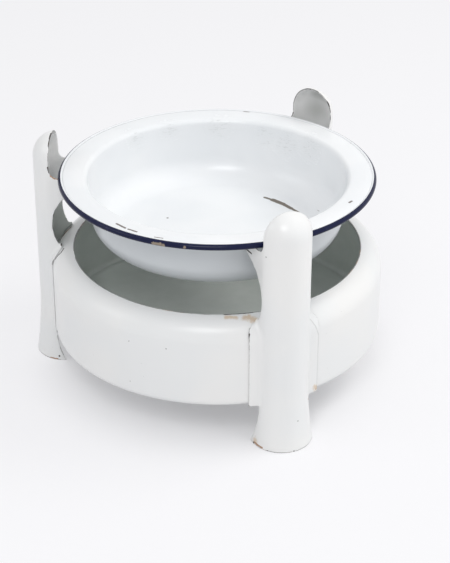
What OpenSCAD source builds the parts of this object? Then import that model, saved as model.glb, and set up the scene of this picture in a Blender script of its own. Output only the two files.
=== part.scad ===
// Enamelled iron wash basin stand: a basin with a rolled rim that lifts out of
// three pressed trough legs, welded around a drum-shaped pan with a turned-in shoulder.
// Millimetres, +Z up. The origin is on the stand's axis at the floor, and one leg stands on -Y.

/* [Basin] */
// Outside diameter over the rolled rim
basin_d = 354; // [330:2:390]
// Height from the underside of the floor to the crown of the flange
basin_depth = 74; // [62:1:90]
// Width of the flange, from the outside of the rim to where it turns down
flange_w = 27; // [22:0.5:34]
// Rise of the flange's crown above the middle of the rolled rim
flange_rise = 3.2; // [1.5:0.1:5]
// Radius of the gentle crown of the flange
flange_crown_r = 90; // [60:5:150]
// Lean of the basin's wall from upright, in degrees
wall_lean = 5; // [1:0.5:10]
// Outside radius of the bend between wall and floor
bowl_bend_r = 30; // [18:1:36]
// Radius under the bend between wall and flange
brow_bend_r = 5; // [3:0.5:8]
// Thickness of the basin's enamelled sheet
basin_sheet = 1.4; // [1:0.1:2]
// Diameter of the wire inside the rolled rim
rim_wire_d = 3.4; // [2.4:0.1:5]

/* [Pan] */
// Height of the pan, from its underside to its lip
pan_h = 101.5; // [85:0.5:115]
// Clearance between the floor and the pan's underside
pan_ground = 50; // [42:1:60]
// Outside radius of the turned-in shoulder
shoulder_r = 24.5; // [18:0.5:30]
// Outside radius of the bend at the foot of the pan's wall
pan_bend_r = 8; // [5:0.5:12]
// Width of the flat hem turned in under the pan's floor
hem_w = 12; // [8:1:20]
// Thickness of the pan's enamelled sheet
pan_sheet = 2; // [1.5:0.1:3]
// Thickness of the pan's floor
floor_sheet = 2; // [1.5:0.1:3]

/* [Legs] */
// Height of a leg, from the floor to the top of its dome
leg_h = 278; // [262:1:300]
// Outside radius of the half-round trough
leg_r = 28; // [24:0.5:32]
// Thickness of the leg's enamelled sheet
leg_sheet = 2; // [1.5:0.1:3]
// Splay of the trough's two sides, in degrees
side_splay = 5; // [0:0.5:8]
// How far the pan's wall bites past the middle of the half-round
leg_bite = 6.9; // [4:0.1:10]
// Radius of the flared foot on the floor
foot_r = 34.7; // [32:0.1:38]
// Height over which the foot flares out
flare_h = 85; // [60:1:110]
// How far the foot's two ends wrap inwards past the half-round
foot_wrap = 6.6; // [2:0.2:12]
// Height of the deepest point of the hollow above each end of the foot
instep_h = 38; // [28:1:44]
// Distance from the middle of the half-round out to that deepest point
instep_reach = 3.5; // [1:0.5:6]

/* [Seats] */
// Height of the two ledges that carry the basin's rim
seat_h = 233.7; // [222:0.1:246]
// Play between the basin's rim and the back of the notch
rim_play = 8; // [4:0.5:11]
// Radius in the corner of the notch
notch_bend_r = 9; // [5:0.5:14]
// Distance from the middle of the half-round out to the dome's open face
dome_opening = 4.5; // [1:0.5:10]
// Play between the horn tips and the basin's wall
horn_play = 6; // [2:0.5:10]
// Height of a horn at its tip
horn_tip_h = 14.7; // [9:0.1:20]
// Radius of the corner at the tip of a horn
horn_corner_r = 4; // [1:0.5:7]
// Radius of the hollow between horn and shoulder
hollow_r = 46; // [38:1:54]
// Distance from the middle of the half-round out to the hollow's deepest point
hollow_reach = 3; // [0:0.5:6]

/* [Weld flanges] */
// Width of a flange beside the half-round
weld_w = 13; // [9:0.5:18]
// How far the flange climbs over the pan's shoulder, in degrees of its bend
weld_climb = 62; // [40:1:75]
// Radius of the flange's upper corners
weld_corner_r = 13; // [8:0.5:18]
// Radius of the bend between flange and trough
weld_bend_r = 5; // [3:0.5:8]
// Radius under each flange, where it runs down into the instep
weld_heel_r = 5; // [3:0.5:8]

/* [Clearances] */
// Gap between the basin's rim and the ledges
rest_gap = 0.3; // [0.1:0.05:0.5]
// Gap all round the wire inside the rolled rim
wire_gap = 0.1; // [0.05:0.05:0.3]

/* [Hidden] */
$fn = 96;
arc_step = 4;

stand_white = "#efede8";
basin_white = "#eef2f5";
rim_navy = "#1d2450";
wire_grey = "#8d8f92";

front_leg_at = -90;
right_leg_at = 30;
left_leg_at = 150;

// Radii, outwards from the axis of the stand
rim_r = basin_d / 2;
notch_r = rim_r + rim_play;
leg_c = notch_r - dome_opening;
pan_r = leg_c + leg_bite;
mouth_r = pan_r - shoulder_r;

// Heights, up from the floor
lip_z = pan_ground + pan_h;
shoulder_z = lip_z - shoulder_r;
dome_z = leg_h - leg_r;

// The rolled rim lies around its wire, just above the ledges
wire_r = rim_wire_d / 2;
roll_r = wire_r + wire_gap + basin_sheet;
roll_c = rim_r - roll_r;
roll_z = seat_h + rest_gap + roll_r;

// Centres of the basin's bends, as [radius, height], from the flange down to the floor
crown_z = roll_z + flange_rise;
brow_r = rim_r - flange_w;
crown_c = [(brow_r + roll_c) / 2, crown_z - flange_crown_r];
crown_half = asin((roll_c - brow_r) / 2 / flange_crown_r);
brow_c = crown_c + (flange_crown_r - basin_sheet - brow_bend_r) * dir(90 + crown_half);
wall_top = brow_c + brow_bend_r * dir(180 - wall_lean);
basin_z = crown_z - basin_depth;
bowl_bend_z = basin_z + bowl_bend_r;
wall_foot_z = bowl_bend_z - bowl_bend_r * sin(wall_lean);
wall_foot_r = wall_top[0] - (wall_top[1] - wall_foot_z) * tan(wall_lean);
bowl_bend_c = [wall_foot_r - bowl_bend_r * cos(wall_lean), bowl_bend_z];

// Places in a leg's side view, as distances out from the stand's axis
tip_x = sqrt(pow(wall_top[0] + horn_play, 2) - pow(leg_r, 2));
hollow_x = leg_c + hollow_reach - hollow_r;
hollow_z = seat_h - horn_tip_h - sqrt(pow(hollow_r, 2) - pow(tip_x - hollow_x, 2));
toe_x = leg_c - foot_wrap;
instep_x = leg_c + instep_reach;
instep_r = (pow(instep_h, 2) + pow(instep_x - toe_x, 2)) / 2 / (instep_x - toe_x);

// The flange climbs the shoulder to this place, where the trough's sides stand on it
spur_x = mouth_r + shoulder_r * cos(weld_climb);
spur_z = shoulder_z + shoulder_r * sin(weld_climb);
weld_half = leg_r + weld_w;

// The foot's flare is an arc that meets the upright trough without a kink
flare_r = (pow(flare_h, 2) + pow(foot_r - leg_r, 2)) / 2 / (foot_r - leg_r);
past = 1;

function dir(a) = [cos(a), sin(a)];

// Where a circle around the stand's axis meets one around the middle of the half-round
function meet(axis_r, trough_r) =
    let (x = (pow(axis_r, 2) - pow(trough_r, 2) + pow(leg_c, 2)) / 2 / leg_c)
    [x, sqrt(pow(axis_r, 2) - pow(x, 2))];

// Points on an arc around c, from angle a0 to a1
function arc(c, r, a0, a1) =
    let (steps = max(2, ceil(abs(a1 - a0) / arc_step)))
    [for (i = [0:steps]) c + r * dir(a0 + (a1 - a0) * i / steps)];

// ---- Pan ----

// Quarter of a disc, in the first quadrant
module quarter_disc(r) {
    intersection() {
        circle(r = r);
        square(r);
    }
}

// Quarter of a bent sheet, in the first quadrant
module quarter_bend(r, sheet) {
    difference() {
        quarter_disc(r);
        circle(r = r - sheet);
    }
}

// What rounding a square corner at the origin of the first quadrant takes away
module corner_scrap(r) {
    difference() {
        square(r);
        translate([r, r])
            circle(r = r);
    }
}

module pan_shell() {
    color(stand_white)
        rotate_extrude() {
            translate([mouth_r, shoulder_z])
                quarter_bend(shoulder_r, pan_sheet);
            translate([pan_r - pan_sheet, pan_ground + pan_bend_r])
                square([pan_sheet, shoulder_z - pan_ground - pan_bend_r]);
            translate([pan_r - pan_bend_r, pan_ground + pan_bend_r])
                mirror([0, 1])
                    quarter_bend(pan_bend_r, pan_sheet);
            translate([pan_r - pan_bend_r - hem_w, pan_ground])
                square([hem_w, pan_sheet]);
        }
}

// The floor is a disc let down on the hem inside the wall
module pan_floor() {
    color(stand_white)
        translate([0, 0, pan_ground + pan_sheet])
            cylinder(r = pan_r - pan_bend_r, h = floor_sheet);
}

// Everything inside the pan's outer face and above its underside
module pan_space() {
    rotate_extrude() {
        translate([0, pan_ground])
            square([pan_r - pan_bend_r, pan_bend_r]);
        translate([pan_r - pan_bend_r, pan_ground + pan_bend_r])
            mirror([0, 1])
                quarter_disc(pan_bend_r);
        translate([0, pan_ground + pan_bend_r])
            square([pan_r, shoulder_z - pan_ground - pan_bend_r]);
        translate([0, shoulder_z])
            square([mouth_r, shoulder_r]);
        translate([mouth_r, shoulder_z])
            quarter_disc(shoulder_r);
    }
}

// ---- Legs, each drawn on +X and turned into place ----

// Outline of the half-round's sheet: the flared foot, the upright and the dome
module half_round_profile() {
    intersection() {
        translate([leg_r + flare_r, flare_h])
            difference() {
                circle(r = flare_r + leg_sheet, $fn = 720);
                circle(r = flare_r, $fn = 720);
            }
        square([2 * leg_r, flare_h]);
    }
    translate([leg_r - leg_sheet, flare_h])
        square([leg_sheet, dome_z - flare_h]);
    translate([0, dome_z])
        quarter_bend(leg_r, leg_sheet);
}

// The half-round alone; below the pan its foot wraps further inwards
module half_round() {
    difference() {
        translate([leg_c, 0, 0])
            rotate_extrude()
                half_round_profile();
        translate([0, -foot_r, pan_ground])
            cube([leg_c, 2 * foot_r, leg_h]);
    }
}

// A splayed strip seen from above, between two distances from the trough's middle line
module side_strip(y0, y1) {
    run = leg_c - tip_x + past;
    out = run * tan(side_splay);
    polygon([[leg_c, y0], [leg_c, y1], [leg_c - run, y1 + out], [leg_c - run, y0 + out]]);
}

// The two splayed sides, which run inwards from the half-round and carry the ledges
module sides() {
    translate([0, 0, shoulder_z])
        linear_extrude(height = max(dome_z, seat_h) - shoulder_z)
            for (side = [0, 1])
                mirror([0, side])
                    side_strip(leg_r - leg_sheet, leg_r);
}

// What the press trims from the sides, drawn in the side view [out, up]
module side_trim() {
    rotate([90, 0, 0])
        linear_extrude(height = 4 * foot_r, center = true) {
            // notch for the basin's rim, with a round corner
            translate([0, seat_h])
                difference() {
                    square([notch_r, leg_h]);
                    translate([notch_r, 0])
                        mirror([1, 0])
                            corner_scrap(notch_bend_r);
                }
            // end of the horn, with its round corner
            translate([0, hollow_z])
                square([tip_x, leg_h]);
            translate([tip_x, seat_h])
                mirror([0, 1])
                    corner_scrap(horn_corner_r);
            // hollow between horn and shoulder, and the end of the flange below it
            translate([hollow_x, hollow_z])
                circle(r = hollow_r);
            translate([0, pan_ground])
                square([spur_x, hollow_z - pan_ground]);
            // instep above the end of the foot
            intersection() {
                translate([instep_x - instep_r, instep_h])
                    circle(r = instep_r, $fn = 240);
                translate([0, -past])
                    square([leg_c + foot_r, pan_ground + past]);
            }
        }
}

// Front view of the flange, flat: round corners above, and a round heel beside the trough below
module weld_outline() {
    top = spur_z - pan_ground;
    heel_x = leg_r + weld_heel_r;
    difference() {
        translate([-weld_half, 0])
            square([2 * weld_half, top]);
        for (side = [0, 1])
            mirror([side, 0])
                translate([weld_half, top])
                    rotate([0, 0, 180])
                        corner_scrap(weld_corner_r);
    }
    difference() {
        translate([-heel_x, -weld_heel_r])
            square([2 * heel_x, weld_heel_r]);
        for (side = [-1, 1])
            translate([side * heel_x, -weld_heel_r])
                circle(r = weld_heel_r);
    }
}

// Sheet that lies on the pan's wall and climbs its shoulder
module weld_flange() {
    intersection() {
        rotate_extrude() {
            translate([pan_r, pan_ground - weld_heel_r])
                square([leg_sheet, shoulder_z - pan_ground + weld_heel_r]);
            translate([mouth_r, shoulder_z])
                quarter_bend(shoulder_r + leg_sheet, leg_sheet);
        }
        translate([spur_x, 0, pan_ground])
            rotate([90, 0, 90])
                linear_extrude(height = 2 * leg_r)
                    weld_outline();
    }
}

// Round root between flange and trough, along the upright wall; its corners lie inside the sheets
module weld_root() {
    depth = leg_sheet / 4;
    flange_r = pan_r + leg_sheet;
    root_c = meet(flange_r + weld_bend_r, leg_r + weld_bend_r);
    to_leg = atan2(-root_c[1], leg_c - root_c[0]);
    to_flange = atan2(-root_c[1], -root_c[0]);
    on_leg = root_c + (weld_bend_r + depth) * dir(to_leg);
    on_flange = root_c + (weld_bend_r + depth) * dir(to_flange);
    bend = [for (i = [1:4]) root_c + weld_bend_r * dir(to_leg + (to_flange - to_leg) * i / 5)];
    translate([0, 0, pan_ground])
        linear_extrude(height = shoulder_z - pan_ground)
            for (side = [0, 1])
                mirror([0, side])
                    polygon(concat([on_leg], bend, [on_flange, meet(flange_r - depth, leg_r - depth)]));
}

// The hollow of the trough out to the middle of its sheet, which the flange stays out of
module trough_hollow() {
    mid = leg_r - leg_sheet / 2;
    translate([leg_c, 0, 0])
        cylinder(r = mid, h = dome_z);
    linear_extrude(height = dome_z)
        polygon([[leg_c, mid], [0, mid + leg_c * tan(side_splay)],
                 [0, -mid - leg_c * tan(side_splay)], [leg_c, -mid]]);
}

module leg() {
    color(stand_white) {
        difference() {
            union() {
                half_round();
                sides();
            }
            side_trim();
            pan_space();
        }
        difference() {
            union() {
                weld_flange();
                weld_root();
            }
            trough_hollow();
        }
    }
}

module leg_front() {
    rotate([0, 0, front_leg_at]) leg();
}

module leg_right() {
    rotate([0, 0, right_leg_at]) leg();
}

module leg_left() {
    rotate([0, 0, left_leg_at]) leg();
}

// ---- Basin ----

module basin_bowl() {
    color(basin_white)
        rotate_extrude()
            difference() {
                polygon(concat(
                    [[0, basin_z]],
                    arc(bowl_bend_c, bowl_bend_r, -90, -wall_lean),
                    arc(brow_c, brow_bend_r, 180 - wall_lean, 90 + crown_half),
                    arc(crown_c, flange_crown_r - basin_sheet, 90 + crown_half, 90 - crown_half),
                    arc(crown_c, flange_crown_r, 90 - crown_half, 90 + crown_half),
                    arc(brow_c, brow_bend_r + basin_sheet, 90 + crown_half, 180 - wall_lean),
                    arc(bowl_bend_c, bowl_bend_r - basin_sheet, -wall_lean, -90),
                    [[0, basin_z + basin_sheet]]));
                translate([roll_c, roll_z])
                    circle(r = roll_r);
            }
}

// The edge of the basin's sheet, curled down around the wire
module basin_rim() {
    color(rim_navy)
        rotate_extrude()
            translate([roll_c, roll_z])
                difference() {
                    circle(r = roll_r);
                    circle(r = roll_r - basin_sheet);
                }
}

module rim_wire() {
    color(wire_grey)
        rotate_extrude()
            translate([roll_c, roll_z])
                circle(r = wire_r);
}

pan_shell();
pan_floor();
leg_front();
leg_right();
leg_left();
basin_bowl();
basin_rim();
rim_wire();
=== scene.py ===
# Looks for an enamelled wash basin stand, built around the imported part. Metres, +Z up.
import math
import bmesh
import bpy
from mathutils import Matrix, Vector, noise


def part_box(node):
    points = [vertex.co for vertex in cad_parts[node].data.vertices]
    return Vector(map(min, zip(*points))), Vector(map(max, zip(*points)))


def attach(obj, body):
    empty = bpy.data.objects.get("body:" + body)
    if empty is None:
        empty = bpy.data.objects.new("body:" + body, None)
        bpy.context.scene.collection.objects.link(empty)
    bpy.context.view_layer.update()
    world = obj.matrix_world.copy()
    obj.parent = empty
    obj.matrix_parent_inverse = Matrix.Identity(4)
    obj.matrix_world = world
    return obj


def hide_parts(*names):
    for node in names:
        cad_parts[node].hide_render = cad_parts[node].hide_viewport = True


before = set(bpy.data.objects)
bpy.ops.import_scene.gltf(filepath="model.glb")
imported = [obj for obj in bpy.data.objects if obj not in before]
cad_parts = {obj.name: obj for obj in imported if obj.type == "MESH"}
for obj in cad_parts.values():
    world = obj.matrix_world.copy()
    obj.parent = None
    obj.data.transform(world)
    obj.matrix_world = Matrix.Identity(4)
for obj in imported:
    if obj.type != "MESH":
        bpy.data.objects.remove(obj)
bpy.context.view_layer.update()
scene = bpy.context.scene
mm = 0.001


# Camera: fitted to the circles of the rim and the pan in the photograph
cameraFit = {
    "place": (-0.6494, -1.5493, 1.0432),
    "tilt": 60.68,
    "turn": -23.05,
    "roll": 0.17,
    "lens": 106.77,
    "sensor": 36.0,
}


def placeCamera(fit):
    data = bpy.data.cameras.new("photoCamera")
    data.sensor_width = fit["sensor"]
    data.lens = fit["lens"]
    data.clip_start = 0.05
    data.clip_end = 40
    camera = bpy.data.objects.new("photoCamera", data)
    scene.collection.objects.link(camera)
    turn = Matrix.Rotation(math.radians(fit["turn"]), 4, "Z")
    tilt = Matrix.Rotation(math.radians(fit["tilt"]), 4, "X")
    roll = Matrix.Rotation(math.radians(fit["roll"]), 4, "Z")
    camera.matrix_world = Matrix.Translation(fit["place"]) @ turn @ tilt @ roll
    scene.camera = camera


placeCamera(cameraFit)
print("camera placed")


# Shared modelling helpers; angles are in degrees
def onArc(centre, radius, angle):
    turn = math.radians(angle)
    return centre[0] + radius * math.cos(turn), centre[1] + radius * math.sin(turn)


def arcPoints(centre, radius, start, end, step):
    steps = max(2, math.ceil(abs(end - start) / step))
    return [onArc(centre, radius, start + (end - start) * i / steps) for i in range(steps + 1)]


def drawProfile(bm, points, closed, longest):  # points are (out, up), drawn over +X
    verts = [bm.verts.new((x, 0, z)) for x, z in points]
    pairs = list(zip(verts, verts[1:]))
    if closed:
        pairs.append((verts[-1], verts[0]))
    edges = [bm.edges.new(pair) for pair in pairs]
    if longest:
        for edge in edges:
            cuts = int(edge.calc_length() / longest)
            if cuts:
                bmesh.ops.subdivide_edges(bm, edges=[edge], cuts=cuts)
    return bm.verts[:] + bm.edges[:]


def cleanSpun(bm):
    bmesh.ops.remove_doubles(bm, verts=bm.verts, dist=0.002 * mm)
    bmesh.ops.dissolve_degenerate(bm, edges=bm.edges, dist=0.001 * mm)
    bmesh.ops.recalc_face_normals(bm, faces=bm.faces)


def lathe(points, steps, closed, longest=None):
    bm = bmesh.new()
    line = drawProfile(bm, points, closed, longest)
    bmesh.ops.spin(bm, geom=line, cent=(0, 0, 0), axis=(0, 0, 1), angle=2 * math.pi,
                   steps=steps, use_merge=True)
    cleanSpun(bm)
    return bm


def waver(bm, depth, span, seed):  # slow unevenness of hand-pressed sheet, always inwards
    shift = Vector((seed, seed * 0.7, -seed))
    bm.normal_update()
    moves = [(vert, vert.normal * depth * (noise.noise(vert.co / span + shift) - 1) / 2)
             for vert in bm.verts]
    for vert, move in moves:
        vert.co += move


def newObject(name, bm):
    mesh = bpy.data.meshes.new(name)
    bm.to_mesh(mesh)
    bm.free()
    made = bpy.data.objects.new(name, mesh)
    scene.collection.objects.link(made)
    return made


def bakeModifiers(piece):
    bpy.context.view_layer.update()
    shown = piece.evaluated_get(bpy.context.evaluated_depsgraph_get())
    mesh = bpy.data.meshes.new_from_object(shown)
    piece.modifiers.clear()
    piece.data = mesh


def finishPiece(piece, finish, body, slotName, *nodes):
    piece.data.materials.append(finish)
    piece.data.shade_smooth()
    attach(piece, body)
    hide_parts(*nodes)
    print("made", piece.name, len(piece.data.polygons), "faces")


# Shared shader helpers
class Shader:
    def __init__(self, name):
        self.material = bpy.data.materials.new(name)
        self.material.use_nodes = True
        self.nodes = self.material.node_tree.nodes
        self.links = self.material.node_tree.links
        self.surface = self.nodes["Principled BSDF"]
        self.place = self.nodes.new("ShaderNodeTexCoord").outputs["Object"]

    def feed(self, socket, value):
        if isinstance(value, bpy.types.NodeSocket):
            self.links.new(value, socket)
        else:
            socket.default_value = value

    def calc(self, operation, a, b, clamp=False):
        node = self.nodes.new("ShaderNodeMath")
        node.operation = operation
        node.use_clamp = clamp
        self.feed(node.inputs[0], a)
        self.feed(node.inputs[1], b)
        return node.outputs[0]

    def plus(self, a, b):
        return self.calc("ADD", a, b)

    def minus(self, a, b):
        return self.calc("SUBTRACT", a, b)

    def times(self, a, b):
        return self.calc("MULTIPLY", a, b)

    def larger(self, a, b):
        return self.calc("MAXIMUM", a, b)

    def vector(self, operation, a, b=None):
        node = self.nodes.new("ShaderNodeVectorMath")
        node.operation = operation
        self.feed(node.inputs[0], a)
        if b is not None:
            self.feed(node.inputs[1], b)
        isNumber = operation in ("DISTANCE", "LENGTH", "DOT_PRODUCT")
        return node.outputs["Value" if isNumber else "Vector"]

    def between(self, value, low, high, top=1.0, bottom=0.0):  # smooth step from low to high
        node = self.nodes.new("ShaderNodeMapRange")
        node.interpolation_type = "SMOOTHSTEP"
        self.feed(node.inputs["Value"], value)
        node.inputs["From Min"].default_value = low
        node.inputs["From Max"].default_value = high
        node.inputs["To Min"].default_value = bottom
        node.inputs["To Max"].default_value = top
        return node.outputs["Result"]

    def pattern(self, kind, size, shift, stretch=(1, 1, 1)):
        mapping = self.nodes.new("ShaderNodeMapping")
        mapping.inputs["Location"].default_value = shift
        mapping.inputs["Scale"].default_value = stretch
        self.links.new(self.place, mapping.inputs["Vector"])
        node = self.nodes.new(kind)
        node.inputs["Scale"].default_value = 1 / size
        self.links.new(mapping.outputs[0], node.inputs["Vector"])
        return node

    def grain(self, size, detail=2.0, roughness=0.5, shift=(0, 0, 0), stretch=(1, 1, 1)):
        node = self.pattern("ShaderNodeTexNoise", size, shift, stretch)
        node.inputs["Detail"].default_value = detail
        node.inputs["Roughness"].default_value = roughness
        return node.outputs["Fac"]

    def uneven(self, depth, size, **settings):  # grain about zero
        return self.times(self.minus(self.grain(size, **settings), 0.5), depth)

    def attribute(self, name):
        node = self.nodes.new("ShaderNodeAttribute")
        node.attribute_name = name
        return node.outputs["Fac"]

    def blendColour(self, factor, a, b):
        node = self.nodes.new("ShaderNodeMix")
        node.data_type = "RGBA"
        self.feed(node.inputs["Factor"], factor)
        for socket, value in ((node.inputs[6], a), (node.inputs[7], b)):
            self.feed(socket, value if isinstance(value, bpy.types.NodeSocket) else (*value, 1.0))
        return node.outputs[2]

    def fromLine(self, start, end):  # distance from a straight line between two places
        start, end = Vector(start) * mm, Vector(end) * mm
        run = end - start
        away = self.vector("SUBTRACT", self.place, start)
        reached = self.vector("DOT_PRODUCT", away, run)
        along = self.calc("MULTIPLY", reached, 1 / run.length_squared, clamp=True)
        foot = self.nodes.new("ShaderNodeVectorMath")
        foot.operation = "SCALE"
        foot.inputs[0].default_value = run
        self.links.new(along, foot.inputs["Scale"])
        return self.vector("DISTANCE", away, foot.outputs[0])

    def marks(self, places, ragged):  # 1 in the middle of a mark, 0 at its edge
        total = None
        for *ends, radius in places:
            if len(ends) == 2:
                away = self.fromLine(*ends)
            else:
                away = self.vector("DISTANCE", self.place, Vector(ends[0]) * mm)
            inside = self.minus(1.0, self.calc("DIVIDE", away, radius * mm))
            total = inside if total is None else self.larger(total, inside)
        return self.plus(total, ragged)

    def worn(self, mark, roughEdge):  # how much of a mark shows, up to its share
        ragged = self.times(roughEdge, mark["ragged"])
        return self.between(self.marks(mark["places"], ragged), *mark["fade"], mark["share"])

    def finish(self, colour, roughness, height=None, strength=0.5, distance=0.2 * mm):
        self.feed(self.surface.inputs["Base Color"], colour)
        self.feed(self.surface.inputs["Roughness"], roughness)
        if height is not None:
            bump = self.nodes.new("ShaderNodeBump")
            bump.inputs["Strength"].default_value = strength
            bump.inputs["Distance"].default_value = distance
            self.links.new(height, bump.inputs["Height"])
            self.links.new(bump.outputs["Normal"], self.surface.inputs["Normal"])
        return self.material


# White stand enamel over a grey-green ground coat, which shows inside, paler and whiter towards the top.
# Marks lie where the photograph shows them. Their places are in mm: a point and a radius, or the two
# ends of a line and half its width.
standEnamel = {
    "white": (0.79, 0.79, 0.785),
    "cool": (0.765, 0.775, 0.78),
    "groundCoat": (0.745, 0.785, 0.75),
    "groundPale": (0.785, 0.82, 0.79),
    "innerTop": (0.84, 0.84, 0.835),
    "innerTopZ": (165 * mm, 235 * mm),
    "edgeGrey": (0.10, 0.10, 0.095),
    "bare": (0.04, 0.034, 0.032),
    "gloss": 0.3,
    "pinholeEvery": 21 * mm,
    "pinhole": 0.014,
    # edges of the sheet that the white still covers
    "covered": [((-163, 52, 132), (-163, 52, 45), 22)],
    # painted shade: grey patches in the hollows of the domes
    "domeShade": {
        "colour": (0.50, 0.51, 0.49), "ragged": 0.6, "fade": (0.0, 0.9), "share": 0.75,
        "places": [((174, 107, 243), 20), ((172, 100, 262), 17), ((-160, 104, 274), 14)],
    },
    # soft brown stains on the white
    "stain": {
        "colour": (0.56, 0.37, 0.18), "ragged": 0.4, "fade": (0.1, 0.9), "share": 0.6,
        "places": [
            ((-56, -158.5, 151), (-47, -162.5, 150.7), 4.5), ((-37, -165.5, 150.5), (-30, -171, 149), 7),
            ((-33, -165, 150.7), 5), ((38, -186, 56), 6), ((-34, -186, 5), 7), ((-168, 65, 236), 5),
        ],
    },
    # runs of rust along an edge
    "rust": {
        "colour": (0.33, 0.16, 0.07), "ragged": 0.7, "fade": (0.2, 0.6), "share": 0.9,
        "places": [
            ((-171.7, 68.1, 236.2), (-168.5, 65.6, 233.9), 2.2),
            ((-168.5, 65.6, 233.9), (-162, 60.8, 233.7), 2.2),
            ((-140, 105.7, 148), (-157, 91.5, 142.6), 2.4), ((-184, 69, 1), (-177, 63, 1), 1.6),
            ((39, -186, 53), (24, -197, 51), 1.8), ((-35, -184, 3), (-30, -197, 2), 1.8),
        ],
    },
    # faint grey lines along the edges of the front leg's weld flanges, against the pan
    "hairline": {
        "colour": (0.10, 0.10, 0.095), "ragged": 0.6, "fade": (0.0, 0.6), "share": 0.22,
        "places": [
            ((30, -182, 142), (35.5, -185, 134), 0.9), ((35.5, -185, 134), (39.8, -185, 122), 0.9),
            ((39.8, -185, 122), (39.8, -185, 55), 0.8), ((-40.8, -184, 122), (-40.6, -184.6, 58), 0.8),
        ],
    },
    # chips down to the iron
    "chip": {
        "colour": (0.04, 0.034, 0.032), "ragged": 0.6, "fade": (0.2, 0.4), "share": 1.0,
        "places": [
            # left leg: dome, notch, hollow and the flange on the shoulder
            ((-162, 89.5, 277.5), (-166.5, 82, 275), 2.6), ((-166.5, 82, 275), (-170.5, 75.2, 269.5), 2.0),
            ((-174.2, 69.3, 246), (-173.2, 68.8, 240.5), 1.9), ((-171.5, 68, 188), (-171.5, 68, 185), 1.0),
            ((-139.8, 105.7, 148), (-147.7, 102.6, 144.5), 1.3),
            ((-147.7, 102.6, 144.5), (-156.9, 91.5, 142.6), 1.5),
            ((-156.9, 91.5, 142.6), (-161, 84, 142.7), 1.3), ((-165, 63.5, 151), (-165, 57.5, 149.7), 1.9),
            ((-165, 57.5, 149.7), (-169.8, 52.8, 147.7), 1.9),
            ((-169.8, 52.8, 147.7), (-176.5, 53.3, 140), 1.7), ((-175, 62, 5), 1.6),
            # right leg: dome and notch
            ((171, 73.5, 267), (173, 71, 262), 2.2), ((173.6, 69, 255), 1.8),
            ((146.5, 115.5, 240), (143, 113.5, 234.5), 1.8), ((154, 103, 275), (163, 87.5, 277), 1.2),
            # front leg: horn, flange and foot
            ((-30.4, -151.5, 223), (-29.4, -162, 223.2), 1.3), ((-26, -190.5, 232.5), 0.9),
            ((-39.5, -182, 140), (-41, -183, 133), 0.9), ((-41, -183, 133), (-41, -184, 122), 0.9),
            ((-34, -184, 1.5), 1.6), ((-26.5, -203, 0.5), 1.4), ((0, -215, 0.5), 1.6), ((6, -210, 35.5), 0.9),
            # pan: lip and wall
            ((-55.7, -153.2, 151.5), (-42.2, -157.4, 151.5), 1.6),
            ((-42.2, -157.4, 151.5), (-27, -160.8, 151.5), 1.4), ((-119, -144.5, 119), 0.9),
            ((-149, -113, 118), 0.8), ((-149, -113, 67.5), 0.8),
        ],
    },
}


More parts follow.
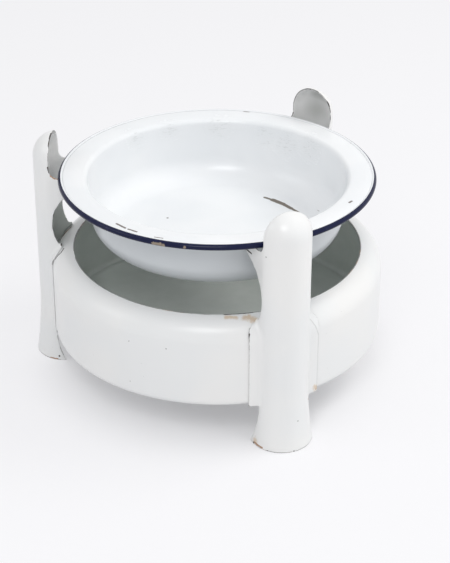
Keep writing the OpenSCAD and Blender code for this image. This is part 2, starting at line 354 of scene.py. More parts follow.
def makeStandEnamel(look):
    s = Shader("stand_enamel")
    ragged = s.uneven(1.6, 2.5 * mm, detail=4, roughness=0.65)
    cloudy = s.uneven(0.7, 30 * mm, detail=3)
    blotchy = s.uneven(3.0, 5 * mm, detail=3, roughness=0.6, shift=(0.5, 0.2, 0.9))
    slightly = s.times(ragged, 0.12)
    # white outside; inside the ground coat, paler and whiter higher up
    outside = s.blendColour(s.between(s.grain(90 * mm), 0.35, 0.65), look["white"], look["cool"])
    mottle = s.grain(20 * mm, detail=3, roughness=0.6, shift=(1, 2, 3))
    inner = s.blendColour(s.between(mottle, 0.35, 0.7), look["groundCoat"], look["groundPale"])
    split = s.nodes.new("ShaderNodeSeparateXYZ")
    s.links.new(s.place, split.inputs[0])
    higherUp = s.plus(s.between(split.outputs["Z"], *look["innerTopZ"]), cloudy)
    inner = s.blendColour(s.between(higherUp, 0.2, 0.8), inner, look["innerTop"])
    # painted shade in the hollows of the domes
    inner = s.blendColour(s.worn(look["domeShade"], cloudy), inner, look["domeShade"]["colour"])
    isInner = s.between(s.plus(s.attribute("inner"), slightly), 0.45, 0.55)
    enamel = s.blendColour(isInner, outside, inner)
    pins = s.pattern("ShaderNodeTexVoronoi", look["pinholeEvery"], (0.2, 0.4, 0.1))
    isPin = s.calc("LESS_THAN", pins.outputs["Distance"], look["pinhole"])
    enamel = s.blendColour(s.times(isPin, 0.45), enamel, look["bare"])
    # thin dark line on the sheet's edges, fainter in places and rusty in others
    fainter = s.between(s.grain(20 * mm, detail=3, roughness=0.6, shift=(4, 1, 2)), 0.38, 0.52, 1.0, 0.55)
    uncovered = s.between(s.marks(look["covered"], cloudy), 0.5, 0.1)
    edge = s.times(s.attribute("edge"), s.times(fainter, uncovered))
    edged = s.between(s.plus(edge, slightly), 0.45, 0.7, 0.8)
    rusty = s.between(s.grain(30 * mm, detail=3, roughness=0.6, shift=(7, 7, 1)), 0.58, 0.68)
    edgeColour = s.blendColour(rusty, look["edgeGrey"], look["rust"]["colour"])
    enamel = s.blendColour(edged, enamel, edgeColour)
    enamel = s.blendColour(s.worn(look["stain"], s.plus(ragged, blotchy)), enamel, look["stain"]["colour"])
    enamel = s.blendColour(s.worn(look["rust"], ragged), enamel, look["rust"]["colour"])
    enamel = s.blendColour(s.worn(look["hairline"], ragged), enamel, look["hairline"]["colour"])
    chipped = s.worn(look["chip"], ragged)
    enamel = s.blendColour(chipped, enamel, look["chip"]["colour"])
    # glossy, but dull where bare
    fine = s.grain(4 * mm, detail=3, roughness=0.6, shift=(0.3, 0.1, 0.7))
    glossy = s.plus(s.times(fine, 0.06), look["gloss"] - 0.03)
    dull = s.times(s.larger(chipped, s.times(edged, 0.8)), 0.75)
    orangePeel = s.grain(11 * mm, detail=1, roughness=0.4, shift=(2, 5, 1))
    skin = s.minus(s.times(orangePeel, 0.35), s.times(chipped, 1.2))
    return s.finish(enamel, s.larger(glossy, dull), skin, 0.5, 0.25 * mm)


# Navy enamel round the rolled rim, rubbed through in places; on top it stops at the flange's white
rimEnamel = {
    "navy": (0.005, 0.008, 0.038),
    "thinNavy": (0.035, 0.038, 0.095),
    "white": (0.78, 0.80, 0.82),
    "gloss": 0.16,
    "specular": 0.18,
    "rubbed": {
        "colour": (0.33, 0.27, 0.20), "ragged": 1.0, "fade": (0.1, 0.5), "share": 0.85,
        "places": [
            ((-124, -126, 237), (-118, -131, 237), 2.6), ((-116, -133, 236), 3.2),
            ((-98, -147, 237), 2.2), ((174, 12, 238), 2.0),
        ],
    },
}


def pastNavy(s, ragged):  # 1 on the flange's white, 0 on the rim's navy
    return s.between(s.plus(s.attribute("white"), s.times(ragged, 0.4)), -0.15, 0.15)


def makeRimEnamel(look):
    s = Shader("rim_enamel")
    ragged = s.uneven(1.5, 2.5 * mm, detail=4, roughness=0.65)
    thin = s.between(s.grain(12 * mm, detail=3, roughness=0.6), 0.55, 0.75, 0.4)
    colour = s.blendColour(thin, look["navy"], look["thinNavy"])
    rubbed = s.worn(look["rubbed"], ragged)
    colour = s.blendColour(rubbed, colour, look["rubbed"]["colour"])
    colour = s.blendColour(pastNavy(s, ragged), colour, look["white"])
    s.surface.inputs["Specular IOR Level"].default_value = look["specular"]
    return s.finish(colour, s.plus(look["gloss"], s.times(rubbed, 0.45)), s.minus(1.0, rubbed))


# Blue-white basin enamel with a long streak on the floor, dashes on the flange and faint scuffs on the wall
basinEnamel = {
    "white": (0.78, 0.80, 0.82),
    "pale": (0.81, 0.825, 0.84),
    # painted shade: the basin's underside is coloured darker
    "underside": (0.60, 0.63, 0.655),
    "gloss": 0.25,
    "scuff": {
        "colour": (0.47, 0.49, 0.49), "ragged": 0.8, "fade": (0.05, 0.8), "share": 1.0,
        "places": [
            ((122, 76, 221), 26), ((136, 46, 223), 24), ((104, 100, 226), 22),
            ((58, 132, 230), 24), ((0, 144, 231), 22), ((-45, 137, 232), 22),
        ],
    },
    "dash": {
        "colour": (0.08, 0.05, 0.035), "ragged": 0.5, "fade": (0.15, 0.5), "share": 0.85,
        "places": [
            ((-146, -76, 240), (-141, -88.5, 240), 1.9), ((-139, -92, 240), (-133, -101, 240), 1.6),
            ((-120, -119, 240), (-113, -125, 240), 0.9), ((99, 138, 240), (94, 141.5, 240), 1.4),
            ((101, -126, 240), (104.5, -124, 240), 2.0), ((97, -128, 239), 1.2),
            ((172, 10.5, 239.5), 1.6), ((120, 20, 170), (124, -8, 170.5), 0.8), ((-41.8, 47.8, 168), 2.0),
        ],
    },
    "streak": {
        "colour": (0.14, 0.12, 0.095), "ragged": 0.35, "fade": (0.1, 0.35), "share": 0.95,
        "places": [
            ((83, 53, 168), (91, 39.5, 168), 2.6), ((89, 43.5, 168), (95.5, 29.5, 168), 4.4),
            ((95.5, 29.5, 168), (99.5, 15, 168), 3.6), ((99.5, 15, 168), (103, 3, 168.3), 2.6),
        ],
    },
}


def makeBasinEnamel(look):
    s = Shader("basin_enamel")
    slow = s.grain(80 * mm, shift=(3, 3, 3))
    ragged = s.uneven(1.5, 2.5 * mm, detail=4, roughness=0.65)
    colour = s.blendColour(s.between(slow, 0.35, 0.65), look["white"], look["pale"])
    # painted shade: darker on the underside and outer wall
    colour = s.blendColour(s.between(s.attribute("inner"), 0.4, 0.6), colour, look["underside"])
    # scuffs are short fine strokes inside soft patches
    strokes = s.grain(6 * mm, detail=4, roughness=0.7, shift=(1, 4, 2), stretch=(1, 1, 3.5))
    patch = s.worn(look["scuff"], s.minus(slow, 0.5))
    scuffed = s.times(patch, s.between(strokes, 0.48, 0.62, 0.4))
    colour = s.blendColour(scuffed, colour, look["scuff"]["colour"])
    dashed = s.worn(look["dash"], ragged)
    colour = s.blendColour(dashed, colour, look["dash"]["colour"])
    streaked = s.worn(look["streak"], ragged)
    colour = s.blendColour(streaked, colour, look["streak"]["colour"])
    colour = s.blendColour(pastNavy(s, ragged), rimEnamel["navy"], colour)
    dull = s.larger(s.times(s.larger(dashed, streaked), 0.5), s.times(scuffed, 0.9))
    roughness = s.plus(s.plus(s.times(slow, 0.06), look["gloss"] - 0.03), dull)
    orangePeel = s.grain(14 * mm, detail=1, roughness=0.4, shift=(2, 5, 1))
    return s.finish(colour, roughness, orangePeel, 0.3)


wireLook = {"dark": (0.38, 0.37, 0.36), "bright": (0.52, 0.51, 0.50), "gloss": 0.3}


def makeWireSteel(look):
    s = Shader("rim_steel")
    s.surface.inputs["Metallic"].default_value = 1.0
    drawn = s.grain(2 * mm, detail=3, roughness=0.6)
    colour = s.blendColour(drawn, look["dark"], look["bright"])
    return s.finish(colour, s.plus(look["gloss"], s.times(drawn, 0.2)))


whiteStand = makeStandEnamel(standEnamel)
whiteBasin = makeBasinEnamel(basinEnamel)
navyRim = makeRimEnamel(rimEnamel)
wireSteel = makeWireSteel(wireLook)
print("materials made")


# Pan: a drum with a turned-in shoulder and a hem below, on which its floor lies
panShape = {
    "shoulderR": 24.5 * mm,
    "bendR": 8 * mm,
    "hem": 12 * mm,
    "sheet": 2 * mm,
    "lipLine": 1.4 * mm,
    # in thicknesses of the sheet: how deep its inner side begins, and the middle of the lip's worn line
    "innerFrom": 0.6,
    "lipTip": (-0.3, 0.38),
    "floorEdgeR": 0.6 * mm,
    "floorDrop": 0.1 * mm,
    "floorRing": 0.6,
    "steps": 360,
    "waver": (0.25 * mm, 70 * mm, 3.1),  # depth, span and seed
}


def readPan(shape):  # its measures, with the centres of bend and shoulder as (out, up)
    low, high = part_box("pan_shell")
    bend, shoulder = shape["bendR"], shape["shoulderR"]
    return {
        "outR": high.x,
        "lowZ": low.z,
        "bendC": (high.x - bend, low.z + bend),
        "shoulderC": (high.x - shoulder, high.z - shoulder),
    }


pan = readPan(panShape)


def depthInPan(r, z):  # how far under the pan's outer surface a place lies
    bendC, shoulderC = pan["bendC"], pan["shoulderC"]
    if z > shoulderC[1]:
        return panShape["shoulderR"] - math.hypot(r - shoulderC[0], z - shoulderC[1])
    if z > bendC[1]:
        return pan["outR"] - r
    if r > bendC[0]:
        return panShape["bendR"] - math.hypot(r - bendC[0], z - bendC[1])
    return z - pan["lowZ"]


def makePanShell(shape):
    lowZ, bendC, shoulderC = pan["lowZ"], pan["bendC"], pan["shoulderC"]
    bend, shoulder, sheet = shape["bendR"], shape["shoulderR"], shape["sheet"]
    lipC = (shoulderC[0], shoulderC[1] + shoulder - sheet / 2)
    tip = (lipC[0] + sheet * shape["lipTip"][0], lipC[1] + sheet * shape["lipTip"][1])
    hemR = bendC[0] - shape["hem"]
    outer = [(hemR, lowZ)] + arcPoints(bendC, bend, -90, 0, 6) + arcPoints(shoulderC, shoulder, 0, 90, 3)
    lip = arcPoints(lipC, sheet / 2, 90, 270, 30)[1:-1]
    inner = arcPoints(shoulderC, shoulder - sheet, 90, 0, 3) + arcPoints(bendC, bend - sheet, 0, -90, 6)
    bm = lathe(outer + lip + inner + [(hemR, lowZ + sheet)], shape["steps"], True, 5 * mm)
    innerTag = bm.verts.layers.float.new("inner")
    edgeTag = bm.verts.layers.float.new("edge")
    for vert in bm.verts:
        r, z = math.hypot(vert.co.x, vert.co.y), vert.co.z
        isInner = min(depthInPan(r, z), z - lowZ) > sheet * shape["innerFrom"]
        vert[innerTag] = 1.0 if isInner else 0.0
        vert[edgeTag] = max(0.0, 2 - 2 * math.dist((r, z), tip) / shape["lipLine"])
    waver(bm, *shape["waver"])
    finishPiece(newObject("panShell", bm), whiteStand, "stand", "stand_enamel", "pan_shell")


def makePanFloor(shape):
    low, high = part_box("pan_floor")
    topZ, edgeR = high.z - shape["floorDrop"], shape["floorEdgeR"]
    top = [(0, topZ), (high.x * shape["floorRing"], topZ), (high.x - edgeR, topZ)]
    side = [(high.x, high.z - edgeR), (high.x, low.z), (0, low.z)]
    bm = lathe(top + side, shape["steps"], False, 6 * mm)
    innerTag = bm.verts.layers.float.new("inner")
    bm.verts.layers.float.new("edge")
    for vert in bm.verts:
        vert[innerTag] = 1.0 if vert.co.z > (low.z + high.z) / 2 else 0.0
    finishPiece(newObject("panFloor", bm), whiteStand, "stand", "pan_grey_enamel", "pan_floor")


makePanShell(panShape)
makePanFloor(panShape)


# Basin: floor, wall and crowned flange from one sheet, its edge curled over a wire
basinShape = {
    "flange": 27 * mm,
    "flangeRise": 3.2 * mm,
    "crownR": 90 * mm,
    "wallLean": 5.0,
    "floorBendR": 30 * mm,
    "browR": 5 * mm,
    "sheet": 1.4 * mm,
    # degrees of the crown by which the flange's underside and top stop short of the roll
    "underShort": 1.5,
    "overShort": 0.3,
    "curlFrom": 128,  # on top, under the flange's edge
    "curlTo": -205,
    "navyEdge": 0.3 * mm,
    "navyWander": 1.15 * mm,
    "navyNear": (-0.39, -0.92),
    "steps": 512,
    "waver": (0.3 * mm, 90 * mm, 8.3),  # depth, span and seed
}


def readRoll():  # radius and centre of the rolled rim's section
    low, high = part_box("basin_rim")
    rollR = (high.z - low.z) / 2
    return rollR, (high.x - rollR, low.z + rollR)


rimRoll = readRoll()
plain = 9.0  # mm, far enough from the navy's edge to be all white, or all navy below zero


def insideNavy(shape, vert):  # how far inwards of the navy's edge a point on top lies, in mm
    rollC = rimRoll[1]
    across = math.hypot(vert.co.x, vert.co.y)
    near = Vector(shape["navyNear"]).dot(vert.co.xy) / max(across, mm)
    return (rollC[0] + shape["navyEdge"] - shape["navyWander"] * near - across) / mm


def makeBasinBowl(shape):
    rollR, rollC = rimRoll
    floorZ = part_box("basin_bowl")[0].z
    sheet, lean, bend = shape["sheet"], shape["wallLean"], shape["floorBendR"]
    crownR, browR = shape["crownR"], shape["browR"]
    # crown of the flange, then the brow where it turns down, the wall and the bend to the floor
    browEdge = rollC[0] + rollR - shape["flange"]
    crownC = ((browEdge + rollC[0]) / 2, rollC[1] + shape["flangeRise"] - crownR)
    half = math.degrees(math.asin((rollC[0] - browEdge) / 2 / crownR))
    browC = onArc(crownC, crownR - sheet - browR, 90 + half)
    wallTop = onArc(browC, browR, 180 - lean)
    footZ = floorZ + bend - bend * math.sin(math.radians(lean))
    footR = wallTop[0] - (wallTop[1] - footZ) * math.tan(math.radians(lean))
    bendC = (footR - bend * math.cos(math.radians(lean)), floorZ + bend)
    under = [(0, floorZ)] + arcPoints(bendC, bend, -90, -lean, 5)
    under += arcPoints(browC, browR, 180 - lean, 90 + half, 12)
    under += arcPoints(crownC, crownR - sheet, 90 + half, 90 - half + shape["underShort"], 2)
    over = arcPoints(crownC, crownR, 90 - half + shape["overShort"], 90 + half, 2)
    over += arcPoints(browC, browR + sheet, 90 + half, 180 - lean, 10)
    over += arcPoints(bendC, bend - sheet, -lean, -90, 5) + [(0, floorZ + sheet)]
    bm = lathe(under + over, shape["steps"], False, 4 * mm)
    innerTag = bm.verts.layers.float.new("inner")
    whiteTag = bm.verts.layers.float.new("white")
    bm.normal_update()
    for vert in bm.verts:
        vert[whiteTag] = insideNavy(shape, vert) if vert.normal.z > 0 else plain
        outwards = vert.normal.dot(Vector((vert.co.x, vert.co.y, 0)).normalized())
        vert[innerTag] = 1.0 if vert.normal.z < 2 * outwards else 0.0
    waver(bm, *shape["waver"])
    finishPiece(newObject("basinBowl", bm), whiteBasin, "basin", "basin_enamel", "basin_bowl")


def makeBasinRim(shape):
    rollR, rollC = rimRoll
    outer = arcPoints(rollC, rollR, shape["curlFrom"], shape["curlTo"], 6)
    inner = arcPoints(rollC, rollR - shape["sheet"], shape["curlTo"], shape["curlFrom"], 12)
    bm = lathe(outer + inner, shape["steps"], True)
    whiteTag = bm.verts.layers.float.new("white")
    for vert in bm.verts:
        vert[whiteTag] = insideNavy(shape, vert) if vert.co.z > rollC[1] else -plain
    finishPiece(newObject("basinRim", bm), navyRim, "basin", "rim_enamel", "basin_rim")


makeBasinBowl(basinShape)
makeBasinRim(basinShape)
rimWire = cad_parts["rim_wire"].data
rimWire.materials.clear()
rimWire.materials.append(wireSteel)


# Legs: a half-round trough with a domed top and flared foot, horns for the basin, flanges for the pan
legShape = {
    "axisOut": 180.5 * mm,
    "radius": 28 * mm,
    "sheet": 2 * mm,
    "wrap": 105,
    "wrapSteps": 140,
    "footR": 34.7 * mm,
    "flareHeight": 85 * mm,
    "footWrap": 6.6 * mm,
    "instepHeight": 38 * mm,
    "instepReach": 3.5 * mm,
    "splay": 5.0,
    "cheekZ": (125 * mm, 255 * mm),
    "domeZ": 250 * mm,
    "seatZ": 233.7 * mm,
    "notchOut": 185 * mm,
    "notchR": 9 * mm,
    "tipOut": 149.2 * mm,
    "tipR": 4 * mm,
    "hollowC": (137.5 * mm, 175 * mm),
    "hollowR": 46 * mm,
    "weldHalf": 41 * mm,
    "weldCornerR": 13 * mm,
    "weldHeelR": 5 * mm,
    "weldBendR": 6 * mm,
    "weldSpread": 14,
    "weldSteps": 40,
    "climb": 62.0,
    "climbSteps": 24,
    # cutting tools reach from here out, this far up and this far to each side
    "toolIn": 100 * mm,
    "toolTop": 300 * mm,
    "toolHalf": 60 * mm,
    "voxel": 0.88 * mm,
    # the weld bends are smoothed this close to pan and trough
    "softAbove": 4 * mm,
    "softPan": (-1 * mm, 9 * mm),
    "softTrough": (-2.5 * mm, 9 * mm),
    "weldSmoothing": 14,
    "smoothing": 4,
    # sharpness over which the sheet's worn edge shows, and the worn line at the foot in mm
    "edgeFrom": 0.04,
    "edgeTo": 0.12,
    "footLine": 1.6,
    # points this far past the trough's radius still lie inside, if they face the trough's axis
    "innerPast": 8 * mm,
    "innerFacing": 0.25,
    "waver": (0.35 * mm, 50 * mm),  # depth and span
    # name, node, turn and seed of its unevenness
    "legs": [("legFront", "leg_front", -90, 1.7), ("legRight", "leg_right", 30, 5.2),
             ("legLeft", "leg_left", 150, 9.4)],
}


def spinSection(points, centreOut, half, steps):  # a closed section, spun half each way round an upright axis
    bm = bmesh.new()
    face = bm.faces.new([bm.verts.new((x, 0, z)) for x, z in points])
    turn = math.radians(half)
    bmesh.ops.rotate(bm, verts=bm.verts, cent=(0, 0, 0), matrix=Matrix.Rotation(-turn, 3, "Z"))
    bmesh.ops.spin(bm, geom=[face], cent=(0, 0, 0), axis=(0, 0, 1), angle=2 * turn, steps=steps)
    bmesh.ops.translate(bm, verts=bm.verts, vec=(centreOut, 0, 0))
    cleanSpun(bm)
    return bm


def extrude(bm, places, shift):  # a face through these places, drawn out to a closed bar
    face = bm.faces.new([bm.verts.new(place) for place in places])
    made = bmesh.ops.extrude_face_region(bm, geom=[face])["geom"]
    moved = [part for part in made if isinstance(part, bmesh.types.BMVert)]
    bmesh.ops.translate(bm, verts=moved, vec=shift)
    bmesh.ops.recalc_face_normals(bm, faces=bm.faces)
    return [part for part in made if isinstance(part, bmesh.types.BMFace)]


def prism(points, halfWidth):  # an outline in the side view (out, up), as wide as that along Y
    bm = bmesh.new()
    extrude(bm, [(x, -halfWidth, z) for x, z in points], (0, 2 * halfWidth, 0))
    return bm


def slab(near, far, low, high, halfWidth):
    return prism([(near, low), (far, low), (far, high), (near, high)], halfWidth)


def cylinder(radius, length, centre, segments, across=False):
    bm = bmesh.new()
    turn = Matrix.Rotation(math.pi / 2 if across else 0, 4, "X")
    bmesh.ops.create_cone(bm, cap_ends=True, segments=segments, radius1=radius, radius2=radius,
                          depth=length, matrix=Matrix.Translation(centre) @ turn)
    return bm


def carve(piece, cutter, operation="DIFFERENCE"):
    cut = piece.modifiers.new("cut", "BOOLEAN")
    cut.operation = operation
    cut.solver = "EXACT"
    cut.object = cutter
    bakeModifiers(piece)


def carveOnce(piece, bm, operation="DIFFERENCE"):
    tool = newObject("tool", bm)
    carve(piece, tool, operation)
    bpy.data.objects.remove(tool)


def notchTool(shape, top):  # room for the rim, from the horn's round tip to the notch's corner
    seat, tip, notch = shape["seatZ"], shape["tipOut"], shape["notchOut"]
    tipR, notchR, start = shape["tipR"], shape["notchR"], shape["tipOut"] - shape["toolHalf"]
    horn = arcPoints((tip + tipR, seat - tipR), tipR, 180, 90, 10)
    corner = arcPoints((notch - notchR, seat + notchR), notchR, -90, 0, 6)
    return prism([(start, seat - tipR)] + horn + corner + [(notch, top), (start, top)], shape["toolHalf"])


def instepTool(shape, panZ):  # cuts the foot's sides back on a curve, up to the pan
    reach = shape["axisOut"] + shape["instepReach"]
    run = shape["instepReach"] + shape["footWrap"]
    radius = (shape["instepHeight"] ** 2 + run ** 2) / 2 / run
    bm = cylinder(radius, 2 * shape["toolHalf"], (reach - radius, 0, shape["instepHeight"]), 720, across=True)
    bmesh.ops.bisect_plane(bm, geom=bm.verts[:] + bm.edges[:] + bm.faces[:], plane_co=(0, 0, panZ),
                           plane_no=(0, 0, 1), clear_outer=True)
    bmesh.ops.holes_fill(bm, edges=[edge for edge in bm.edges if edge.is_boundary])
    bmesh.ops.recalc_face_normals(bm, faces=bm.faces)
    return bm


def panTool():
    bendC, shoulderC = pan["bendC"], pan["shoulderC"]
    bend, shoulder = panShape["bendR"], panShape["shoulderR"]
    drum = [(0, pan["lowZ"])] + arcPoints(bendC, bend, -90, 0, 10) + arcPoints(shoulderC, shoulder, 0, 90, 3)
    return lathe(drum + [(0, shoulderC[1] + shoulder)], panShape["steps"], False)


def legCutters(shape):
    panZ = pan["lowZ"]
    top = shape["domeZ"] + shape["radius"] + 10 * mm
    hollowX, hollowZ = shape["hollowC"]
    named = {
        "inward": slab(shape["toolIn"], shape["axisOut"], panZ, top, shape["toolHalf"]),
        "notch": notchTool(shape, top),
        "hollow": cylinder(shape["hollowR"], 2 * shape["toolHalf"], (hollowX, 0, hollowZ), 180, across=True),
        "instep": instepTool(shape, panZ),
        "pan": panTool(),
    }
    return {name: newObject("tool_" + name, bm) for name, bm in named.items()}


def halfRound(shape):
    radius, sheet, flareH = shape["radius"], shape["sheet"], shape["flareHeight"]
    extra = shape["footR"] - radius
    flareR = (flareH ** 2 + extra ** 2) / 2 / extra
    lean = math.degrees(math.asin(flareH / flareR))
    outer = arcPoints((radius + flareR, flareH), flareR, 180 + lean, 180, 0.4)
    outer += arcPoints((0, shape["domeZ"]), radius, 0, 90, 3)
    inner = arcPoints((0, shape["domeZ"]), radius - sheet, 90, 0, 3)
    inner += arcPoints((radius + flareR, flareH), flareR + sheet, 180, 180 + lean, 0.4)
    return spinSection(outer + inner, shape["axisOut"], shape["wrap"], shape["wrapSteps"])


def splayed(shape, bm):  # sides lean outwards towards the pan's middle
    for vert in bm.verts:
        lean = (shape["axisOut"] - vert.co.x) * math.tan(math.radians(shape["splay"]))
        vert.co.y += math.copysign(lean, vert.co.y)
    return bm


def cheek(shape):  # one splayed side, inwards of the half-round
    run = shape["axisOut"] - shape["tipOut"] + 1 * mm
    low, high = shape["cheekZ"]
    centre = (shape["axisOut"] - run / 2, shape["radius"] - shape["sheet"] / 2, (low + high) / 2)
    bm = bmesh.new()
    bmesh.ops.create_cube(bm, size=1, matrix=Matrix.Translation(centre)
                          @ Matrix.Diagonal((run, shape["sheet"], high - low, 1)))
    return splayed(shape, bm)


def weldFlange(shape):
    outR, panZ, shoulderC = pan["outR"], pan["lowZ"], pan["shoulderC"]
    shoulder, sheet = panShape["shoulderR"], shape["sheet"]
    half, corner, heel = shape["weldHalf"], shape["weldCornerR"], shape["weldHeelR"]
    # a band of sheet on the pan's wall and shoulder
    outer = [(outR + sheet, panZ - heel)] + arcPoints(shoulderC, shoulder + sheet, 0, shape["climb"] + 3, 2)
    inner = arcPoints(shoulderC, shoulder, shape["climb"] + 3, 0, 2) + [(outR, panZ - heel)]
    band = newObject("band", spinSection(outer + inner, 0, shape["weldSpread"], shape["weldSteps"]))
    # trimmed to its outline seen from in front
    topZ = onArc(shoulderC, shoulder, shape["climb"])[1]
    side = arcPoints((half - corner, topZ - corner), corner, 90, 0, 6) + [(half, panZ)]
    side += arcPoints((shape["radius"] + heel, panZ - heel), heel, 90, 180, 10)
    outline = side + [(-y, z) for y, z in reversed(side)]
    stencil = bmesh.new()
    extrude(stencil, [(outR - shoulder * 0.8, y, z) for y, z in outline], (shape["toolHalf"], 0, 0))
    carveOnce(band, stencil, "INTERSECT")
    # and open inside the trough
    mid = shape["radius"] - sheet / 2
    carveOnce(band, cylinder(mid, 2 * shape["toolTop"], (shape["axisOut"], 0, 0), 180))
    carveOnce(band, splayed(shape, slab(shape["toolIn"], shape["axisOut"], 0, shape["toolTop"], mid)))
    return band


def weldRoot(shape):  # bend between flange and trough, up the wall and over the shoulder
    outR, panZ, shoulderC = pan["outR"], pan["lowZ"], pan["shoulderC"]
    sheet, bend, axisOut, radius = shape["sheet"], shape["weldBendR"], shape["axisOut"], shape["radius"]
    depth = sheet / 4

    def meet(panR, troughR):  # where circles round the pan's and the trough's axes cross
        x = (panR ** 2 - troughR ** 2 + axisOut ** 2) / 2 / axisOut
        return x, math.sqrt(panR ** 2 - x ** 2)

    rootC = meet(outR + sheet + bend, radius + bend)
    toTrough = math.degrees(math.atan2(-rootC[1], axisOut - rootC[0]))
    toFlange = math.degrees(math.atan2(-rootC[1], -rootC[0]))
    section = [onArc(rootC, bend + depth, toTrough)]
    section += arcPoints(rootC, bend, toTrough, toFlange, 8)[1:-1]
    section += [onArc(rootC, bend + depth, toFlange), meet(outR + sheet - depth, radius - depth)]
    bm = bmesh.new()
    top = extrude(bm, [(x, y, panZ) for x, y in section], (0, 0, shoulderC[1] - panZ))
    bendAxis = math.sqrt(shoulderC[0] ** 2 - rootC[1] ** 2)
    bmesh.ops.spin(bm, geom=top, cent=(bendAxis, 0, shoulderC[1]), axis=(0, 1, 0),
                   angle=-math.radians(shape["climb"]), steps=shape["climbSteps"])
    bmesh.ops.recalc_face_normals(bm, faces=bm.faces)
    return bm


def mirrored(bm):  # the same again on the other side of the leg
    copied = bmesh.ops.duplicate(bm, geom=bm.verts[:] + bm.edges[:] + bm.faces[:])["geom"]
    verts = [part for part in copied if isinstance(part, bmesh.types.BMVert)]
    bmesh.ops.scale(bm, verts=verts, vec=(1, -1, 1))
    bmesh.ops.recalc_face_normals(bm, faces=bm.faces)
    return bm


def joinInto(target, *others):
    bm = bmesh.new()
    for piece in (target, *others):
        bm.from_mesh(piece.data)
    bm.to_mesh(target.data)
    bm.free()
    for piece in others:
        bpy.data.objects.remove(piece)


def pressLeg(shape):
    tools = legCutters(shape)
    trough = newObject("trough", halfRound(shape))
    for name in ("inward", "notch", "hollow", "instep", "pan"):
        carve(trough, tools[name])
    sides = newObject("sides", cheek(shape))
    for name in ("notch", "hollow", "pan"):
        carve(sides, tools[name])
    carveOnce(sides, slab(shape["toolIn"], shape["tipOut"], 0, shape["toolTop"], shape["toolHalf"]))
    bm = bmesh.new()
    bm.from_mesh(sides.data)
    mirrored(bm).to_mesh(sides.data)
    bm.free()
    root = newObject("root", mirrored(weldRoot(shape)))
    joinInto(trough, sides, weldFlange(shape), root)
    for tool in tools.values():
        bpy.data.objects.remove(tool)
    print("leg pressed,", len(trough.data.polygons), "faces")
    # one skin of enamel over all of it
    remesh = trough.modifiers.new("enamel", "REMESH")
    remesh.mode = "VOXEL"
    remesh.voxel_size = shape["voxel"]
    bakeModifiers(trough)
    print("leg coated,", len(trough.data.polygons), "faces")
    return trough


def smooth(bm, verts, times):
    for _ in range(times):
        bmesh.ops.smooth_vert(bm, verts=verts, factor=0.5, use_axis_x=True, use_axis_y=True, use_axis_z=True)


def overPanSurface(r, z):  # height over the drum's wall or shoulder
    shoulderC = pan["shoulderC"]
    if z > shoulderC[1]:
        return math.hypot(r - shoulderC[0], z - shoulderC[1]) - panShape["shoulderR"]
    return r - pan["outR"]


def softenLeg(bm, shape):
    panZ = pan["lowZ"]
    nearWeld = []
    for vert in bm.verts:
        x, y, z = vert.co
        overPan = overPanSurface(math.hypot(x, y), z)
        overTrough = math.hypot(max(0, x - shape["axisOut"]), y) - shape["radius"]
        inPan = shape["softPan"][0] < overPan < shape["softPan"][1]
        inTrough = shape["softTrough"][0] < overTrough < shape["softTrough"][1]
        if z > panZ + shape["softAbove"] and inPan and inTrough:
            nearWeld.append(vert)
    smooth(bm, nearWeld, shape["weldSmoothing"])
    smooth(bm, bm.verts, shape["smoothing"])


def tagLeg(bm, shape):  # which side is inner, and how close each point is to an edge of the sheet
    innerTag = bm.verts.layers.float.new("inner")
    edgeTag = bm.verts.layers.float.new("edge")
    bm.normal_update()
    axisOut, domeZ = shape["axisOut"], shape["domeZ"]
    sharp = {}
    around = {vert: [edge.other_vert(vert) for edge in vert.link_edges] for vert in bm.verts}
    for vert, others in around.items():
        mean = sum((other.co for other in others), Vector()) / len(others)
        sharp[vert] = (vert.co - mean).dot(vert.normal) / shape["voxel"]
    for vert, others in around.items():
        sharpness = sum(sharp[other] for other in others) / len(others)
        onEdge = (sharpness - shape["edgeFrom"]) / (shape["edgeTo"] - shape["edgeFrom"])
        onFloor = shape["footLine"] - vert.co.z / mm
        vert[edgeTag] = min(1.0, max(0.0, onEdge, onFloor))
        x, y, z = vert.co
        if z > domeZ:
            out = Vector((x - axisOut, y, z - domeZ))
        elif x > axisOut:
            out = Vector((x - axisOut, y, 0))
        else:
            out = Vector((0, y, 0))
        within = out.length < shape["radius"] + (axisOut - x if x < axisOut else shape["innerPast"])
        facesIn = vert.normal.dot(out.normalized()) < -shape["innerFacing"]
        vert[innerTag] = 1.0 if within and facesIn else 0.0


def makeLegs(shape):
    pressed = pressLeg(shape)
    bm = bmesh.new()
    bm.from_mesh(pressed.data)
    softenLeg(bm, shape)
    tagLeg(bm, shape)
    bm.to_mesh(pressed.data)
    bm.free()
    for name, node, turn, seed in shape["legs"]:
        bm = bmesh.new()
        bm.from_mesh(pressed.data)
        toPlace = Matrix.Rotation(math.radians(turn), 3, "Z")
        bmesh.ops.rotate(bm, verts=bm.verts, cent=(0, 0, 0), matrix=toPlace)
        waver(bm, *shape["waver"], seed)
        finishPiece(newObject(name, bm), whiteStand, "stand", "stand_enamel", node)
    bpy.data.objects.remove(pressed)


makeLegs(legShape)
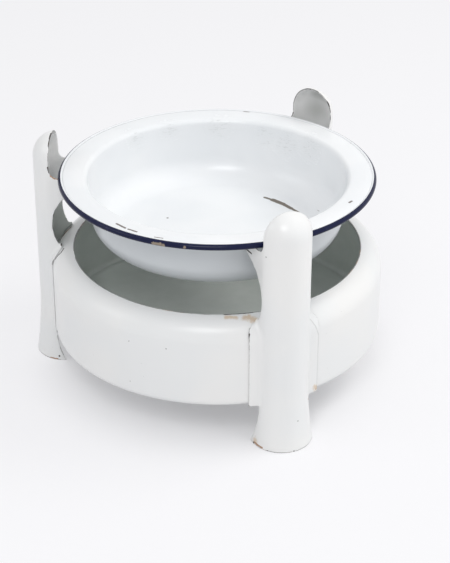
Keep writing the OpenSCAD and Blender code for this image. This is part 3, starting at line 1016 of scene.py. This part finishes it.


# Pale floor, with painted light round the pan, and soft studio light
studio = {
    "floor": (0.855, 0.855, 0.87),
    "floorR": 9,
    "shown": (0.94, 0.938, 0.96),  # colour of the surround, as the camera and gloss see it
    # how much of it covers the floor under the pan, where its shadow lies, and further out: painted light,
    # which lightens the shadow away from the pan
    "shownUnder": 0.22,
    "shownAround": 0.7,
    "underR": 0.14,
    "aroundR": 0.24,
    "world": 0.63,
    "aim": (0, 0, 0.12),
    "lamps": [  # name, place, size, power, colour, whether gloss shows it
        ("keyRight", (1.5, -0.4, 1.9), 1.3, 21, (1, 0.99, 0.97), False),
        ("frontRight", (1.1, -1.9, 1.5), 1.2, 5, (1, 1, 1), False),
        ("overCamera", (-1.0, -1.62, 2.15), 1.1, 17.5, (1, 1, 1), True),
        ("fillLeft", (-2.05, 0.38, 1.45), 1.1, 5, (0.97, 0.98, 1), True),
    ],
}


def seenDirectly(nodes, links):  # 1 for what the camera, gloss and glass see, 0 for diffuse light
    path = nodes.new("ShaderNodeLightPath")
    total = path.outputs["Is Camera Ray"]
    for name in ("Is Glossy Ray", "Is Transmission Ray"):
        either = nodes.new("ShaderNodeMath")
        either.operation = "MAXIMUM"
        links.new(total, either.inputs[0])
        links.new(path.outputs[name], either.inputs[1])
        total = either.outputs[0]
    return total


def mixShaders(nodes, links, factor, a, b):
    mix = nodes.new("ShaderNodeMixShader")
    for socket, source in zip(mix.inputs, (factor, a, b)):
        links.new(source, socket)
    return mix.outputs[0]


def makeFloor(look):
    bm = bmesh.new()
    bmesh.ops.create_circle(bm, cap_ends=True, segments=96, radius=look["floorR"])
    floor = newObject("floor", bm)
    s = Shader("paleFloor")
    s.surface.inputs["Specular IOR Level"].default_value = 0.0
    darker = tuple(channel * 0.995 for channel in look["floor"])
    s.finish(s.blendColour(s.between(s.grain(0.8, detail=1), 0.3, 0.7), look["floor"], darker), 0.9)
    glow = s.nodes.new("ShaderNodeEmission")
    glow.inputs["Color"].default_value = (*look["shown"], 1)
    away = s.vector("LENGTH", s.place)
    # painted light: the floor glows more away from the pan, fading its shadow there
    share = s.between(away, look["underR"], look["aroundR"], look["shownAround"], look["shownUnder"])
    share = s.times(seenDirectly(s.nodes, s.links), share)
    lightened = mixShaders(s.nodes, s.links, share, s.surface.outputs[0], glow.outputs[0])
    # clear from below
    fromBelow = s.nodes.new("ShaderNodeNewGeometry").outputs["Backfacing"]
    clear = s.nodes.new("ShaderNodeBsdfTransparent").outputs[0]
    seen = mixShaders(s.nodes, s.links, fromBelow, lightened, clear)
    s.links.new(seen, s.nodes["Material Output"].inputs["Surface"])
    floor.data.materials.append(s.material)


def makeWorld(look):
    world = bpy.data.worlds.new("studio")
    scene.world = world
    world.use_nodes = True
    nodes, links = world.node_tree.nodes, world.node_tree.links
    light, shown = nodes["Background"], nodes.new("ShaderNodeBackground")
    light.inputs["Color"].default_value = (1, 1, 1, 1)
    light.inputs["Strength"].default_value = look["world"]
    shown.inputs["Color"].default_value = (*look["shown"], 1)
    mixed = mixShaders(nodes, links, seenDirectly(nodes, links), light.outputs[0], shown.outputs[0])
    links.new(mixed, nodes["World Output"].inputs["Surface"])


def placeLamps(look):
    for name, place, size, power, colour, inGloss in look["lamps"]:
        data = bpy.data.lights.new(name, "AREA")
        data.shape = "DISK"
        data.size = size
        data.energy = power
        data.color = colour
        lamp = bpy.data.objects.new(name, data)
        towards = (Vector(look["aim"]) - Vector(place)).to_track_quat("-Z", "Y")
        lamp.matrix_world = Matrix.Translation(place) @ towards.to_matrix().to_4x4()
        lamp.visible_glossy = inGloss
        scene.collection.objects.link(lamp)


makeFloor(studio)
makeWorld(studio)
placeLamps(studio)
scene.view_settings.view_transform = "Standard"
print("studio lit")
